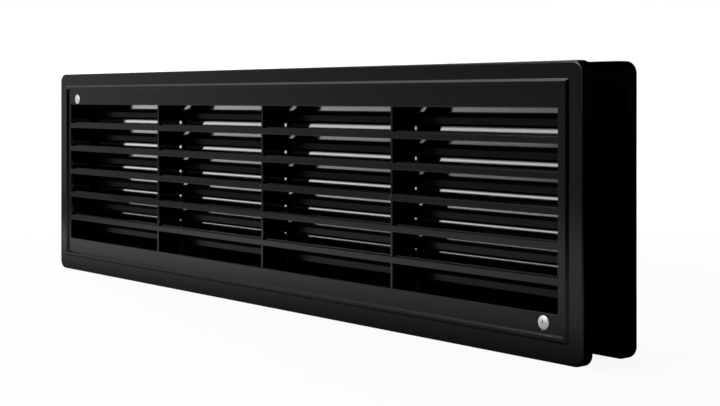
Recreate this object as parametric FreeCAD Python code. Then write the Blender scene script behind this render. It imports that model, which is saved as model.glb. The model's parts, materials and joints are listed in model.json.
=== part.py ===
import FreeCAD, Part
import math
import os

Vector = FreeCAD.Vector

# Two-sided ventilation grille for a door leaf, in millimetres.
# X is the grille's width, Y runs through the door from the front face to the rear, Z is up.
# The origin is at the middle of the width and of the depth, at the lower edge of the plates.

# Face plate of each half
plate_width = 453.0
plate_height = 131.0
plate_corner_radius = 5.5
plate_wall = 2.0
rim_wall = 2.0
rim_depth = 6.0
rim_edge_radius = 1.3

# Room between the two rims, which the door leaf fills
door_gap = 24.8

# Raised bead round the panel, mitred at its corners; its lower side lies further in by the lift
bead_margin = 7.8
bead_height = 1.2
bead_outer_run = 1.2
bead_crest = 1.4
bead_inner_run = 0.7
bead_lower_lift = 1.2
bead_edge_radius = 0.25

# Sleeves that telescope through the cut-out in the door leaf
sleeve_margin = 11.0
sleeve_wall = 1.6
sleeve_corner_radius = 2.0
inner_sleeve_wall = 1.4
sleeve_clearance = 0.3
stop_clearance = 0.3
core_clearance = 0.5

# Horizontal bars, upright dividers, and the blades that slope inwards from the bars to a hanging lip;
# a blade sags a little at its middle, and the front of its lip's lower edge is cut back
row_count = 6
row_pitch = 15.3
column_count = 4
column_pitch = 105.6
bar_face = 3.3
bar_back = 3.2
bar_depth = 7.45
bar_edge_radius = 0.3
divider_wall = 1.3
divider_recess = 0.7
divider_depth = 16.0
rear_divider_recess = 6.0
rear_divider_depth = 18.5
blade_start = 2.1
blade_root = 1.13
blade_bend = 15.8
blade_drop = 5.87
blade_root_wall = 2.76
blade_bend_wall = 1.42
blade_sag = 0.2
lip_drop = 4.25
lip_wall = 1.0
lip_edge_run = 0.5
lip_edge_rise = 1.1
opening_edge_radius = 0.4
grid_offset = 0.35

# Raised countersunk screws with a cross recess
screw_side_margin = 22.5
screw_shank_radius = 1.7
screw_head_radius = 3.1
screw_head_edge = 0.15
screw_dome = 0.6
screw_sink = 0.25
screw_point = 2.0
screw_tip_room = 3.75
recess_span = 3.3
recess_floor_span = 1.2
recess_slot = 0.75
recess_depth = 1.9
recess_turns = {"upper_left_screw": 24.0, "lower_right_screw": 3.0}

# Front bosses that the screws pass through, and rear towers that they cut into
seat_clearance = 0.1
hole_clearance = 0.2
boss_wall = 1.6
boss_edge_gap = 0.1
thread_clearance = 0.05
tower_wall = 1.55
tower_root = 0.6
tower_clearance = 0.2
pilot_end_wall = 1.5

tolerance = 0.001

# Places worked out from the sizes above, in the frame of one half:
# y is the depth behind the flange face, z is the height above the middle of the plate.
face_to_face = door_gap + 2 * rim_depth
half_width = plate_width / 2
half_height = plate_height / 2
core_depth = face_to_face / 2 - core_clearance
sleeve_depth = face_to_face - plate_wall - stop_clearance
inner_sleeve_margin = sleeve_margin + sleeve_wall + sleeve_clearance
opening_side_margin = inner_sleeve_margin + inner_sleeve_wall

boss_hole_radius = screw_shank_radius + hole_clearance
boss_radius = boss_hole_radius + boss_wall
pilot_radius = screw_shank_radius + thread_clearance
tower_radius = pilot_radius + tower_wall
screw_edge_margin = opening_side_margin + tower_radius - tower_root
screw_x = half_width - screw_side_margin
screw_z = half_height - screw_edge_margin
screw_length = face_to_face - screw_sink - plate_wall - pilot_end_wall - screw_tip_room

opening_top_margin = screw_edge_margin + boss_radius + boss_edge_gap
opening_top = half_height - opening_top_margin
opening_bottom = 2 * grid_offset - opening_top
opening_half_width = half_width - opening_side_margin


def block(x_low, x_high, y_low, y_high, z_low, z_high):
    """Plain box between two corners."""
    corner = Vector(x_low, y_low, z_low)
    return Part.makeBox(x_high - x_low, y_high - y_low, z_high - z_low, corner)


def rounded_block(margin, radius, y_low, y_high):
    """Block that lies margin inside the plate's edge, with its four upright corners rounded."""
    across = half_width - margin
    up = half_height - margin
    body = block(-across, across, y_low, y_high, -up, up)
    corners = [edge for edge in body.Edges if edge.BoundBox.YLength > tolerance]
    return body.makeFillet(radius, corners)


def bead_corners(margin, y):
    """Corners of the bead's outline that lies margin inside the plate's edge, at the depth y."""
    across = half_width - margin
    top = half_height - margin
    bottom = bead_lower_lift - top
    return [Vector(x, y, z) for x, z in ((-across, bottom), (across, bottom), (across, top), (-across, top))]


def tapered_block(foot_margin, top_margin, height):
    """Flat-sided block that stands on the face and narrows from its foot to its top."""
    foot = bead_corners(foot_margin, 0)
    top = bead_corners(top_margin, -height)
    outlines = [foot, top]
    for here in range(len(foot)):
        there = (here + 1) % len(foot)
        outlines.append([foot[here], foot[there], top[there], top[here]])
    faces = [Part.Face(Part.makePolygon(outline + outline[:1])) for outline in outlines]
    return Part.Solid(Part.Shell(faces))


def prism_along_x(profile, reach):
    """Solid with the given (y, z) profile that runs from -reach to reach."""
    points = [Vector(-reach, y, z) for y, z in profile]
    face = Part.Face(Part.makePolygon(points + points[:1]))
    return face.extrude(Vector(2 * reach, 0, 0))


def turned(profile):
    """Solid of revolution about Y from a closed list of edges in the (x, y) plane."""
    face = Part.Face(Part.Wire(profile))
    return face.revolve(Vector(0, 0, 0), Vector(0, 1, 0), 360)


def cylinder_along_y(radius, y_low, y_high, x, z):
    return Part.makeCylinder(radius, y_high - y_low, Vector(x, y_low, z), Vector(0, 1, 0))


def face_plate():
    """Flange and panel in one wall, with the rim that turns back to the door."""
    shell = rounded_block(0, plate_corner_radius, 0, rim_depth)
    face_edges = [edge for edge in shell.Edges if edge.BoundBox.YMax < tolerance]
    shell = shell.makeFillet(rim_edge_radius, face_edges)
    hollow = rounded_block(rim_wall, plate_corner_radius - rim_wall, plate_wall, rim_depth)
    shell = shell.cut(hollow)
    window = block(
        -opening_half_width, opening_half_width, 0, plate_wall, opening_bottom, opening_top
    )
    shell = shell.cut(window)
    window_edges = []
    for edge in shell.Edges:
        bounds = edge.BoundBox
        inside = bounds.XMax < opening_half_width + tolerance and bounds.ZMax < opening_top + tolerance
        inside = inside and bounds.XMin > -opening_half_width - tolerance
        if inside and bounds.YMax < tolerance and bounds.ZMin > opening_bottom - tolerance:
            window_edges.append(edge)
    return shell.makeFillet(opening_edge_radius, window_edges)


def bead():
    """Raised border with sloping sides and mitred corners, softened along its crest."""
    outer_crest = bead_margin + bead_outer_run
    inner_crest = outer_crest + bead_crest
    inner_foot = inner_crest + bead_inner_run
    outside = tapered_block(bead_margin, outer_crest, bead_height)
    inside = tapered_block(inner_foot, inner_crest, bead_height)
    border = outside.cut(inside)
    crest_edges = [edge for edge in border.Edges if edge.BoundBox.YMax < tolerance - bead_height]
    return border.makeFillet(bead_edge_radius, crest_edges)


def sleeve(margin, wall, depth):
    """Rectangular tube that runs back from the panel, margin inside the plate's edge."""
    start = plate_wall / 2
    outside = rounded_block(margin, sleeve_corner_radius, start, depth)
    corner = max(sleeve_corner_radius - wall, opening_edge_radius)
    return outside.cut(rounded_block(margin + wall, corner, start, depth))


def bars(reach):
    """Horizontal bars, flush with the panel, with drafted sides and softened front edges."""
    pieces = []
    for row in range(1, row_count):
        middle = grid_offset + (row_count / 2 - row) * row_pitch
        profile = [
            (0, middle + bar_face / 2),
            (0, middle - bar_face / 2),
            (bar_depth, middle - bar_back / 2),
            (bar_depth, middle + bar_back / 2),
        ]
        bar = prism_along_x(profile, reach)
        front_edges = [
            edge for edge in bar.Edges
            if edge.BoundBox.YMax < tolerance and edge.BoundBox.XLength > reach
        ]
        pieces.append(bar.makeFillet(bar_edge_radius, front_edges))
    return pieces


def blades(reach):
    """One blade for each row: it slopes down from the bar above and ends in a lip that hangs inside."""
    pieces = []
    for row in range(row_count):
        root = grid_offset + (row_count / 2 - row) * row_pitch - bar_face / 2 + blade_root
        bend = root - blade_drop
        end = bend - lip_drop
        middle = (blade_start + blade_bend) / 2
        under = (root + bend) / 2 - blade_sag
        profile = [
            (blade_start, root + blade_root_wall),
            (blade_start, root),
            (middle, under),
            (blade_bend, bend),
            (blade_bend, end + lip_edge_rise),
            (blade_bend + lip_edge_run, end),
            (blade_bend + lip_wall, end),
            (blade_bend + lip_wall, bend + blade_bend_wall),
            (middle, under + (blade_root_wall + blade_bend_wall) / 2),
        ]
        pieces.append(prism_along_x(profile, reach))
    return pieces


def dividers(up, start, end):
    """Upright webs between two depths, from one sleeve wall to the other."""
    pieces = []
    for column in range(1, column_count):
        middle = (column - column_count / 2) * column_pitch
        pieces.append(block(middle - divider_wall / 2, middle + divider_wall / 2, start, end, -up, up))
    return pieces


def grille_body(margin, wall, depth):
    """Face moulding with its bars, blades and the sleeve of the given margin, wall and depth."""
    root = margin + wall / 2
    parts = [bead(), sleeve(margin, wall, depth)]
    parts += bars(half_width - root)
    parts += blades(half_width - root)
    return face_plate().multiFuse(parts)


def front_grille():
    """Half with the outer sleeve, countersunk holes and the bosses behind them."""
    body = grille_body(sleeve_margin, sleeve_wall, sleeve_depth)
    up = half_height - sleeve_margin - sleeve_wall / 2
    body = body.multiFuse(dividers(up, divider_recess, divider_depth))
    seat_radius = screw_head_radius + screw_sink + screw_head_edge + seat_clearance
    seat_depth = seat_radius - boss_hole_radius
    for sign in (-1, 1):
        x = sign * screw_x
        z = -sign * screw_z
        body = body.fuse(cylinder_along_y(boss_radius, plate_wall / 2, core_depth, x, z))
        body = body.cut(cylinder_along_y(boss_hole_radius, 0, core_depth, x, z))
        seat = Part.makeCone(seat_radius, boss_hole_radius, seat_depth, Vector(x, 0, z), Vector(0, 1, 0))
        body = body.cut(seat)
    return body.removeSplitter()


def rear_grille():
    """Half with the inner sleeve and two blind towers that take the screws."""
    body = grille_body(inner_sleeve_margin, inner_sleeve_wall, core_depth)
    up = half_height - inner_sleeve_margin - inner_sleeve_wall / 2
    body = body.multiFuse(dividers(up, rear_divider_recess, rear_divider_depth))
    tower_depth = face_to_face - core_depth - tower_clearance
    envelope = rounded_block(inner_sleeve_margin, sleeve_corner_radius, 0, tower_depth)
    for sign in (-1, 1):
        x = sign * screw_x
        z = sign * screw_z
        tower = cylinder_along_y(tower_radius, plate_wall / 2, tower_depth, x, z).common(envelope)
        pilot = cylinder_along_y(pilot_radius, plate_wall + pilot_end_wall, tower_depth, x, z)
        body = body.fuse(tower).cut(pilot)
    return body.removeSplitter()


def screw(turn):
    """Raised countersunk screw whose head lies at the origin and points to -Y."""
    edge_y = screw_sink
    cone_y = edge_y + screw_head_edge
    neck_y = cone_y + screw_head_radius - screw_shank_radius
    tip_y = edge_y + screw_length
    ball = (screw_head_radius ** 2 + screw_dome ** 2) / (2 * screw_dome)
    half_angle = math.asin(screw_head_radius / ball) / 2
    crown = Vector(0, edge_y - screw_dome, 0)
    shoulder = Vector(
        ball * math.sin(half_angle), edge_y - screw_dome + ball * (1 - math.cos(half_angle)), 0
    )
    outline = [
        Vector(screw_head_radius, edge_y, 0),
        Vector(screw_head_radius, cone_y, 0),
        Vector(screw_shank_radius, neck_y, 0),
        Vector(screw_shank_radius, tip_y - screw_point, 0),
        Vector(0, tip_y, 0),
        crown,
    ]
    profile = [Part.Arc(crown, shoulder, outline[0]).toShape()]
    profile += [Part.makeLine(start, end) for start, end in zip(outline, outline[1:])]
    body = turned(profile)
    top_y = crown.y - screw_dome
    floor_y = crown.y + recess_depth
    wing_profile = [
        Vector(-recess_span / 2, top_y, -recess_slot / 2),
        Vector(recess_span / 2, top_y, -recess_slot / 2),
        Vector(recess_floor_span / 2, floor_y, -recess_slot / 2),
        Vector(-recess_floor_span / 2, floor_y, -recess_slot / 2),
    ]
    wing = Part.Face(Part.makePolygon(wing_profile + wing_profile[:1]))
    wing = wing.extrude(Vector(0, 0, recess_slot))
    for angle in (turn, turn + 90):
        cutter = wing.copy()
        cutter.rotate(Vector(0, 0, 0), Vector(0, 1, 0), angle)
        body = body.cut(cutter)
    return body


def place_front(shape):
    """Moves a shape from the half's own frame to the front of the door."""
    shape.translate(Vector(0, -face_to_face / 2, half_height))
    return shape


def place_rear(shape):
    """Turns a half upside down to face the other way, and moves it to the rear of the door."""
    shape.rotate(Vector(0, 0, 0), Vector(1, 0, 0), 180)
    shape.translate(Vector(0, face_to_face / 2, half_height))
    return shape


def main():
    os.makedirs("parts", exist_ok=True)
    nodes = {
        "front_grille": place_front(front_grille()),
        "rear_grille": place_rear(rear_grille()),
    }
    for name, sign in (("upper_left_screw", -1), ("lower_right_screw", 1)):
        piece = screw(recess_turns[name])
        piece.translate(Vector(sign * screw_x, 0, -sign * screw_z))
        nodes[name] = place_front(piece)
    for name, shape in nodes.items():
        shape.exportStep(f"parts/{name}.step")
        bounds = shape.BoundBox
        print(
            name, len(shape.Solids), "solid,", "valid" if shape.isValid() else "not valid,",
            round(shape.Volume, 1), "mm3",
            [round(value, 2) for value in (bounds.XMin, bounds.XMax)],
            [round(value, 2) for value in (bounds.YMin, bounds.YMax)],
            [round(value, 2) for value in (bounds.ZMin, bounds.ZMax)],
        )


main()
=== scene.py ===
import json
import math

import bpy
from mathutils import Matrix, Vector

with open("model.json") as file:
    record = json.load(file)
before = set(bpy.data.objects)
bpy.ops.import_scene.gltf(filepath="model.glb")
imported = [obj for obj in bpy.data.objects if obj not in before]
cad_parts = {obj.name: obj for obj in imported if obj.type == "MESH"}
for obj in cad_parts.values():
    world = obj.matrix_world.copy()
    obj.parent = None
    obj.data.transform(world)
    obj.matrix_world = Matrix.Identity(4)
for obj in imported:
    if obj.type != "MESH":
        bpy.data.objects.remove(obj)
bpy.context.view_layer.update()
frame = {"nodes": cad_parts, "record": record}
nodes = frame["nodes"]

MM = 0.001

# The photograph's camera stands level at the height of the upper panel strip, to the right of the grille.
CAMERA_PLACE = Vector((0.6022, -0.4707, 0.1144))
CAMERA_TURN = math.radians(50.75)
IMAGE_WIDTH = 720
IMAGE_HEIGHT = 406
FOCAL_PIXELS = 1366.8
PRINCIPAL_X = 316.9
HORIZON_Y = 98.63
SENSOR_WIDTH = 36.0

# Brightness of the surroundings as the object reflects them; the camera's white is 1
ROOM_LEVEL = 0.05
LEFT_LEVEL = 0.42
SKY_LEVEL = 1.1
WALL_LEVEL = 4.3
BACK_LEVEL = 1.0
FRONT_LEVEL = 0.35
FLOOR_LEVEL = 0.9
REAR_FLOOR_LEVEL = 1.7
LEFT_FLOOR_LEVEL = 0.35

# Where each part of the surroundings begins and where it is full, as one component of a unit direction
LEFT_EDGE = (0.60, 1.0)
ROOM_TOP = (0.9, 0.3)
ROOM_RIGHT = (1.0, 0.0)
SKY_FOOT = (0.40, 0.75)
SKY_EDGE = (0.2, 0.7)
BEHIND = (0.0, 0.3)
WALL_EDGE = (0.63, 0.655)
WALL_TOP = (0.70, 0.40)
BACK_EDGE = (0.64, 0.72)
AHEAD = (-0.6, -0.8)
FRONT_LEFT_EDGE = (0.6, 0.4)
FRONT_RIGHT_EDGE = (-0.4, 0.0)

# The same for the floor, in millimetres from the middle of the grille. For every ray but the camera's, the
# floor is a painted glow. It has painted shade right in front of the grille, grows dimmer to the right, is
# dark past the grille's right end and is brighter behind the grille.
FLOOR_SIZE = 12.0
FLOOR_REACH = (585.0, 445.0)
FLOOR_BACK = (140.0, 80.0)
FLOOR_AHEAD = (-10.0, -150.0)
FLOOR_SHADE_LEAST = 0.18
FLOOR_ACROSS = (350.0, -350.0)
FLOOR_ACROSS_LEAST = 0.4
RIGHT_GAP_ACROSS = (190.0, 230.0)
RIGHT_GAP_ALONG = (-30.0, -15.0)
LEFT_FLOOR_EDGE = (-500.0, -1200.0)
REAR_FLOOR_ALONG = (30.0, 60.0)
REAR_FLOOR_ACROSS = (215.0, 180.0)
SHADOW_FADE = (300.0, 900.0)
SHADOW_COVER = 0.88
FLOOR_WHITE = 1.05

# Lamps, in metres and watts
LAMP_AIM = Vector((0.0, 0.0, 0.06))
TOP_LAMP_PLACE = Vector((-0.4, -0.3, 1.4))
TOP_LAMP_SIZE = 0.8
TOP_LAMP_POWER = 4.0
FRONT_LAMP_PLACE = Vector((-0.5, -1.3, 0.75))
FRONT_LAMP_SIZE = 0.6
FRONT_LAMP_POWER = 10.0

WHITE = (1, 1, 1, 1)
FLOOR_COLOUR = (0.8, 0.8, 0.8, 1)
BLACK_COLOUR = (0.0012, 0.0012, 0.0013, 1)
ZINC_COLOUR = (0.94, 0.95, 0.96, 1)

# Zones of the mouldings, in millimetres: distance from the middle plane, from the middle of the width
# and from the middle of the height
FACE_ZONE = (16.6, 17.2)
LIP_ZONE = (2.95, 2.9)
PLATE_EDGE_ZONE = (222.0, 218.0)
SIDE_FACING = (0.8, 0.9)
MIDDLE_Z = 65.5
SLEEVE_SIDE = 213.9
SLEEVE_TOP = 52.4
PAST_SLEEVE = (0.0, 0.4)
PLATE_SIDE = 226.5
PLATE_TOP = 65.5
WITHIN_PLATE = (-0.3, -0.6)

# Black plastic: roughness, the share of painted shade (a black diffuse mixed in where shade falls inside),
# and relief in metres
PLASTIC_ROUGHNESS = 0.10
FACE_ROUGHNESS = 0.10
LIP_ROUGHNESS = 0.14
CLOUD_ROUGHNESS = 0.06
CLOUD_SCALE = 22.0
# Painted shade: the share of black diffuse on the lips and on the upright inner faces
LIP_PAINTED_SHADE = 0.45
SIDE_PAINTED_SHADE = 0.85
GRAIN_SCALE = 2600.0
GRAIN_DETAIL = 3.0
GRAIN_HEIGHT = 0.00002
GRAIN_STRENGTH = 0.25
GATE_HEIGHT = 0.00015

# Marks of the mould's gates on the middle bar, in millimetres
GATE_X = -0.6
GATE_PITCH = 106.1
GATE_Z = 65.9
GATE_RADIUS = 1.0
GATE_FLAT_SHARE = 0.55

ZINC_METALLIC = 0.4
ZINC_ROUGHNESS = 0.44
ZINC_CLOUD_ROUGHNESS = 0.08
ZINC_CLOUD_SCALE = 900.0


def deselect():
    """Leaves nothing selected, so that the next operator acts on its own object only."""
    bpy.ops.object.select_all(action="DESELECT")


def make_camera():
    """Level camera with a lens shift that keeps the upright edges parallel, as the photograph has them."""
    bpy.ops.object.camera_add(location=CAMERA_PLACE, rotation=(math.radians(90), 0, CAMERA_TURN))
    camera = bpy.context.object
    camera.name = "photo_camera"
    camera.data.sensor_width = SENSOR_WIDTH
    camera.data.lens = FOCAL_PIXELS / IMAGE_WIDTH * SENSOR_WIDTH
    camera.data.shift_x = (IMAGE_WIDTH / 2 - PRINCIPAL_X) / IMAGE_WIDTH
    camera.data.shift_y = (HORIZON_Y - IMAGE_HEIGHT / 2) / IMAGE_WIDTH
    camera.data.clip_start = 0.01
    camera.data.clip_end = 100
    bpy.context.scene.camera = camera


class Finish:
    """A material or a world under construction, with its nodes made by one method."""

    def __init__(self, data):
        self.data = data
        data.use_nodes = True
        self.tree = data.node_tree
        self.tree.nodes.clear()

    def node(self, kind, settings=None, **sockets):
        """Adds a node, sets it up, and gives its sockets values or links; s0 is the first socket."""
        made = self.tree.nodes.new(kind)
        for key, value in (settings or {}).items():
            setattr(made, key, value)
        for key, value in sockets.items():
            numbered = key[1:].isdigit()
            socket = made.inputs[int(key[1:]) if numbered else key.replace("_", " ")]
            if isinstance(value, Term):
                self.tree.links.new(value.socket, socket)
            else:
                socket.default_value = value
        return made

    def term(self, made, output=0):
        return Term(self, made.outputs[output])

    def place(self):
        """The three object coordinates of a surface point, in millimetres."""
        coordinates = self.term(self.node("ShaderNodeTexCoord"), "Object")
        parts = self.node("ShaderNodeSeparateXYZ", Vector=coordinates)
        return [self.term(parts, axis) / MM for axis in range(3)]

    def noise(self, scale, detail=2.0):
        """Soft noise between 0 and 1, with scale waves to the metre."""
        coordinates = self.term(self.node("ShaderNodeTexCoord"), "Object")
        return self.term(self.node("ShaderNodeTexNoise", Vector=coordinates, Scale=scale, Detail=detail))

    def bump(self, height, distance, strength=1.0, **below):
        """Relief of the given height over the surface, or over another relief given as Normal."""
        made = self.node("ShaderNodeBump", Height=height, Distance=distance, Strength=strength, **below)
        return self.term(made)

    def surface(self, shader):
        self.node("ShaderNodeOutputMaterial", Surface=self.term(shader))
        return self.data


class Term:
    """A socket that takes part in sums, so that shader maths reads as an expression."""

    def __init__(self, finish, socket):
        self.finish = finish
        self.socket = socket

    def maths(self, operation, *values):
        sockets = {f"s{index}": value for index, value in enumerate(values)}
        return self.finish.term(self.finish.node("ShaderNodeMath", {"operation": operation}, **sockets))

    def __add__(self, other):
        return self.maths("ADD", self, other)

    def __radd__(self, other):
        return self.maths("ADD", other, self)

    def __sub__(self, other):
        return self.maths("SUBTRACT", self, other)

    def __rsub__(self, other):
        return self.maths("SUBTRACT", other, self)

    def __mul__(self, other):
        return self.maths("MULTIPLY", self, other)

    def __truediv__(self, other):
        return self.maths("DIVIDE", self, other)

    def __pow__(self, other):
        return self.maths("POWER", self, other)

    def __abs__(self):
        return self.maths("ABSOLUTE", self)

    def larger(self, other):
        return self.maths("MAXIMUM", self, other)

    def ramp(self, low, high, least=0.0):
        """least at low, 1 at high and smooth between them; low may be the larger."""
        made = self.finish.node(
            "ShaderNodeMapRange", {"interpolation_type": "SMOOTHSTEP"},
            s0=self, s1=low, s2=high, s3=least, s4=1.0,
        )
        return self.finish.term(made)


def gate_marks(x, y, z):
    """Round dimples on the middle bar beside the dividers, where the plastic entered the mould."""
    marks = 0.0
    for column in (-1, 0, 1):
        across = x - (GATE_X + column * GATE_PITCH)
        up = z - GATE_Z
        radius = (across ** 2.0 + up ** 2.0) ** 0.5
        marks = radius.ramp(GATE_RADIUS, GATE_RADIUS * GATE_FLAT_SHARE) + marks
    return marks * abs(y).ramp(*FACE_ZONE)


def painted_shade_share(x, y, z, outside, lip, across):
    """Share of painted shade, a black diffuse mixed in where shade falls: on the lips, on upright inner
    faces, and between the rims round the sleeve.
    """
    side = abs(across).ramp(*SIDE_FACING) * (1.0 - outside) * abs(x).ramp(*PLATE_EDGE_ZONE)
    height = abs(z - MIDDLE_Z)
    past_sleeve = (abs(x) - SLEEVE_SIDE).larger(height - SLEEVE_TOP)
    past_plate = (abs(x) - PLATE_SIDE).larger(height - PLATE_TOP)
    between = past_sleeve.ramp(*PAST_SLEEVE) * past_plate.ramp(*WITHIN_PLATE) * (1.0 - outside)
    return lip * LIP_PAINTED_SHADE + side * SIDE_PAINTED_SHADE + between


def black_plastic():
    """Satin ABS, dyed black, with the fine texture of the mould and painted shade on the faces inside."""
    finish = Finish(bpy.data.materials.new("black_plastic"))
    cloud = finish.noise(CLOUD_SCALE)
    grain = finish.bump(finish.noise(GRAIN_SCALE, GRAIN_DETAIL), GRAIN_HEIGHT, GRAIN_STRENGTH)
    x, y, z = finish.place()
    outside = abs(y).ramp(*FACE_ZONE)
    lip = abs(y).ramp(*LIP_ZONE)
    normal = finish.term(finish.node("ShaderNodeNewGeometry"), "Normal")
    across = finish.term(finish.node("ShaderNodeSeparateXYZ", Vector=normal))
    roughness = PLASTIC_ROUGHNESS + outside * FACE_ROUGHNESS + lip * LIP_ROUGHNESS
    satin = finish.node(
        "ShaderNodeBsdfPrincipled", Base_Color=BLACK_COLOUR,
        Roughness=roughness + (cloud - 0.5) * CLOUD_ROUGHNESS,
        Normal=finish.bump(gate_marks(x, y, z), GATE_HEIGHT, Normal=grain),
    )
    # Black diffuse mixed in as painted shade on the lips, the upright inner faces and between the rims
    shade_black = finish.node("ShaderNodeBsdfDiffuse", Color=BLACK_COLOUR)
    shade_share = painted_shade_share(x, y, z, outside, lip, across)
    mixed = finish.node("ShaderNodeMixShader", s0=shade_share, s1=finish.term(satin), s2=finish.term(shade_black))
    return finish.surface(mixed)


def zinc():
    """Bright zinc plating, partly matt."""
    finish = Finish(bpy.data.materials.new("zinc"))
    cloud = finish.noise(ZINC_CLOUD_SCALE)
    shader = finish.node(
        "ShaderNodeBsdfPrincipled", Base_Color=ZINC_COLOUR, Metallic=ZINC_METALLIC,
        Roughness=ZINC_ROUGHNESS + cloud * ZINC_CLOUD_ROUGHNESS,
    )
    return finish.surface(shader)


def white_floor():
    """Pale floor that the camera sees as white, with the object's soft shadow on it; every other ray sees a
    painted glow with painted shade near the grille.
    """
    finish = Finish(bpy.data.materials.new("floor"))
    seen = finish.term(finish.node("ShaderNodeLightPath"), "Is Camera Ray")
    x, y, z = finish.place()
    reach = (x ** 2.0 + y ** 2.0) ** 0.5
    # Painted shade in the glow: darkest right in front of the grille, and dimmer towards the right
    painted_floor_shade = y.ramp(*FLOOR_AHEAD, FLOOR_SHADE_LEAST) * x.ramp(*FLOOR_ACROSS, FLOOR_ACROSS_LEAST)
    level = reach.ramp(*FLOOR_REACH) * y.ramp(*FLOOR_BACK) * painted_floor_shade * FLOOR_LEVEL
    level = level * (1.0 - x.ramp(*RIGHT_GAP_ACROSS) * y.ramp(*RIGHT_GAP_ALONG))
    level = level + x.ramp(*LEFT_FLOOR_EDGE) * LEFT_FLOOR_LEVEL
    level = level + y.ramp(*REAR_FLOOR_ALONG) * x.ramp(*REAR_FLOOR_ACROSS) * REAR_FLOOR_LEVEL
    # The floor glows for all rays but the camera's: painted light, not a lamp
    painted_glow = finish.term(finish.node("ShaderNodeEmission", Color=WHITE, Strength=level))
    plain = finish.term(finish.node("ShaderNodeBsdfDiffuse", Color=FLOOR_COLOUR))
    white = finish.term(finish.node("ShaderNodeEmission", Color=WHITE, Strength=FLOOR_WHITE))
    cover = reach.ramp(*SHADOW_FADE, SHADOW_COVER)
    shown = finish.term(finish.node("ShaderNodeMixShader", s0=cover, s1=plain, s2=white))
    mixed = finish.node("ShaderNodeMixShader", s0=seen, s1=painted_glow, s2=shown)
    return finish.surface(mixed)


def make_floor():
    bpy.ops.mesh.primitive_plane_add(size=FLOOR_SIZE, location=(0, 0, 0))
    floor = bpy.context.object
    floor.name = "floor"
    floor.data.materials.append(white_floor())


def make_world():
    """White wall behind the object, soft light from above, and a dim room that is paler left and ahead."""
    world = bpy.data.worlds.new("studio")
    bpy.context.scene.world = world
    finish = Finish(world)
    direction = finish.node("ShaderNodeTexCoord")
    parts = finish.node("ShaderNodeSeparateXYZ", Vector=finish.term(direction, "Generated"))
    right, back, up = (finish.term(parts, axis) for axis in range(3))
    left = right * -1.0
    level = left.ramp(*LEFT_EDGE) * LEFT_LEVEL + ROOM_LEVEL
    level = level * up.ramp(*ROOM_TOP) * right.ramp(*ROOM_RIGHT)
    level = level + up.ramp(*SKY_FOOT) * left.ramp(*SKY_EDGE) * SKY_LEVEL
    wall = left.ramp(*WALL_EDGE) * up.ramp(*WALL_TOP) * WALL_LEVEL
    level = level + back.ramp(*BEHIND) * (wall + left.ramp(*BACK_EDGE) * BACK_LEVEL)
    ahead = left.ramp(*FRONT_LEFT_EDGE) * left.ramp(*FRONT_RIGHT_EDGE)
    level = level + back.ramp(*AHEAD) * ahead * FRONT_LEVEL
    seen = finish.term(finish.node("ShaderNodeLightPath"), "Is Camera Ray")
    shown = level * (1.0 - seen) + seen
    room = finish.node("ShaderNodeBackground", Color=WHITE, Strength=shown)
    finish.node("ShaderNodeOutputWorld", Surface=finish.term(room))


def add_lamp(name, place, size, power):
    bpy.ops.object.light_add(type="AREA", location=place)
    lamp = bpy.context.object
    lamp.name = name
    lamp.data.size = size
    lamp.data.energy = power
    lamp.rotation_euler = (LAMP_AIM - place).to_track_quat("-Z", "Y").to_euler()


def make_lamps():
    add_lamp("top_light", TOP_LAMP_PLACE, TOP_LAMP_SIZE, TOP_LAMP_POWER)
    add_lamp("front_light", FRONT_LAMP_PLACE, FRONT_LAMP_SIZE, FRONT_LAMP_POWER)


def dress_nodes():
    finishes = {"black_plastic": black_plastic(), "zinc": zinc()}
    slots = {entry["node"]: entry["material_slot"] for entry in frame["record"]["subparts"]}
    for name, node in nodes.items():
        node.data.materials.clear()
        node.data.materials.append(finishes[slots[name]])


deselect()
make_camera()
make_world()
make_lamps()
make_floor()
dress_nodes()

bpy.context.scene.view_settings.view_transform = "Standard"
